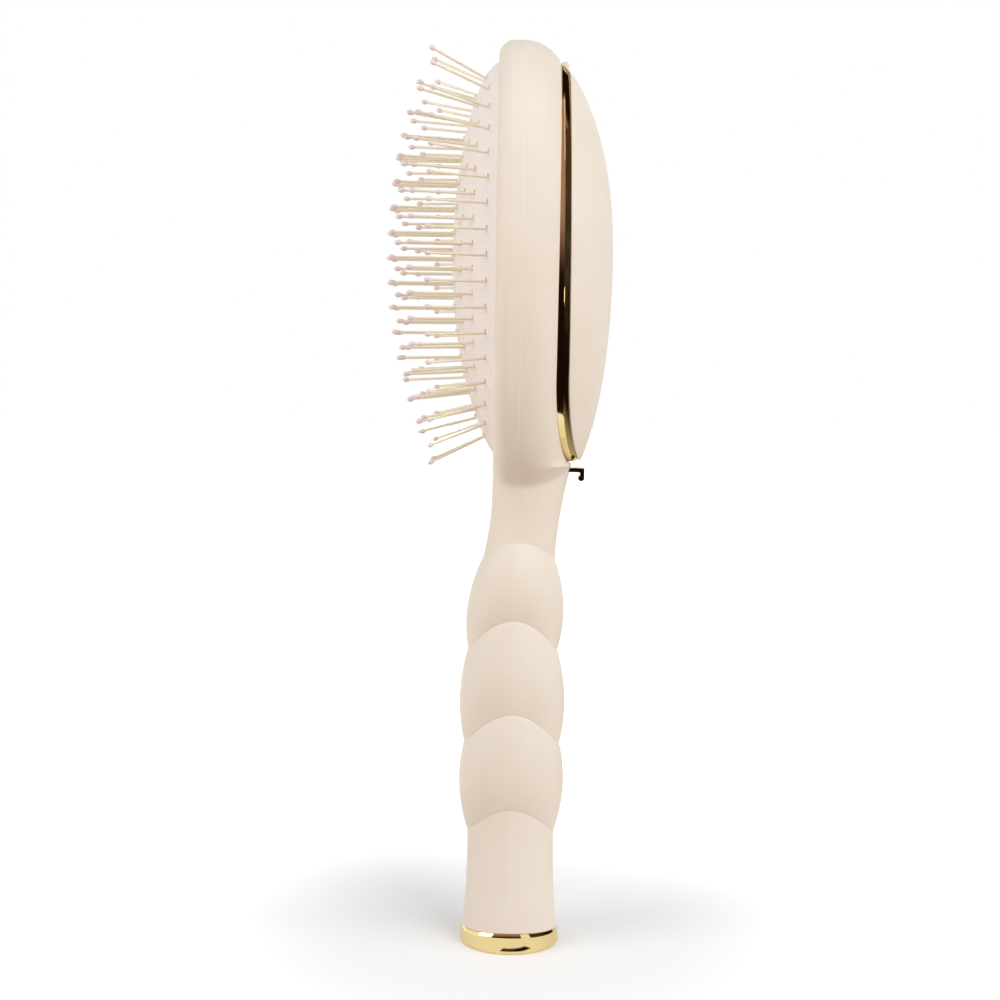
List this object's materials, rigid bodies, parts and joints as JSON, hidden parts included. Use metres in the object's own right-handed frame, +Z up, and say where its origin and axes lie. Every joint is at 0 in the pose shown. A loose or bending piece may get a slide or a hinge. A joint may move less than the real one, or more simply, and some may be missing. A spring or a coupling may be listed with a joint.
{
  "type": "detangling hair brush",
  "caption": "Upright detangling brush with a bubble handle, a cushioned head of ball-tipped wire pins, a lidded compartment in its back and a small hook.",
  "frame": {"origin": "centre of the butt's flat face, where the brush stands", "axes": "+Z up along the handle to the head's crown, +X to the back lid, pins to -X, Y across the head"},
  "size_m": [0.0583, 0.062, 0.2349],
  "materials": {
    "cream_shell": "soft-touch satin",
    "cream_lid": "soft-touch satin",
    "cream_tray": "satin",
    "blush_rubber": "matt, finely ribbed",
    "white_plastic": "satin",
    "polished_gold": "polished gold plate",
    "pale_gold_wire": "pale gold plate",
    "blush_tip": "glossy",
    "magnet_steel": "nickel plate",
    "foot_rubber": "matt",
    "painted_steel": "painted cream"
  },
  "bodies": {
    "body": {"front_shell": "cream_shell", "back_shell": "cream_shell", "backing_plate": "white_plastic", "trim_ring": "polished_gold", "hinge_pin": "painted_steel", "ring_magnet": "magnet_steel", "compartment_tray": "cream_tray", "hook": "polished_gold", "hook_nut": "magnet_steel", "base_ring": "polished_gold", "base_plug": "white_plastic", "base_foot": "foot_rubber"},
    "lid": {"lid": "cream_lid", "lid_magnet": "magnet_steel"},
    "pin_bed": {"cushion_pad": "blush_rubber", "pins_1": "pale_gold_wire", "pins_2": "pale_gold_wire", "pins_3": "pale_gold_wire", "pins_4": "pale_gold_wire", "pins_5": "pale_gold_wire", "pin_tips_1": "blush_tip", "pin_tips_2": "blush_tip", "pin_tips_3": "blush_tip", "pin_tips_4": "blush_tip", "pin_tips_5": "blush_tip"}
  },
  "joints": [
    {"name": "lid_hinge", "type": "hinge", "parent": "body", "child": "lid", "pos_m": [0.0103, 0, 0.22841], "axis": [0, -1, 0], "range_deg": [0, 105]},
    {"name": "cushion_press", "type": "slide", "parent": "body", "child": "pin_bed", "axis": [1, 0, 0], "range_m": [0, 0.003], "stiffness_N_per_m": 2000, "deforming": ["cushion_pad"]}
  ]
}
